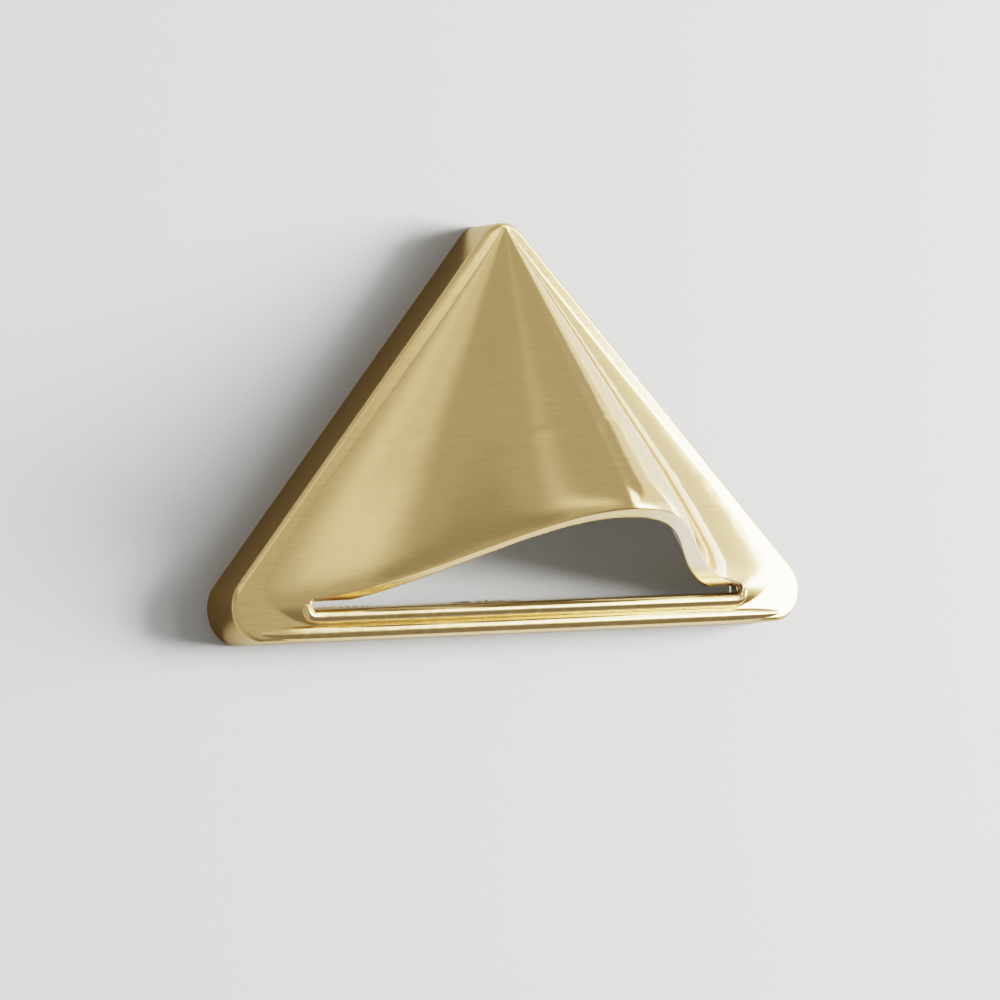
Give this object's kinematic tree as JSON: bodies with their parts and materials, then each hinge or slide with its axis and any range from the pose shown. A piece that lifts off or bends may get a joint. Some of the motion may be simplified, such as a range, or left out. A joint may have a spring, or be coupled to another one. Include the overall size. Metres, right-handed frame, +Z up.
{
  "type": "drawer handle",
  "caption": "Triangular cup pull with a hollow ridged hood over a finger mouth, fixed to a drawer front by screws from behind.",
  "frame": {"origin": "midpoint between the two screw holes, on the back face that meets the drawer front", "axes": "+X to the right along the bottom edge, +Y into the drawer front, +Z up towards the point of the triangle"},
  "size_m": [0.09, 0.0248, 0.0491],
  "materials": {
    "brass": "brushed satin gold"
  },
  "bodies": {
    "root": {"handle": "brass"}
  },
  "joints": []
}
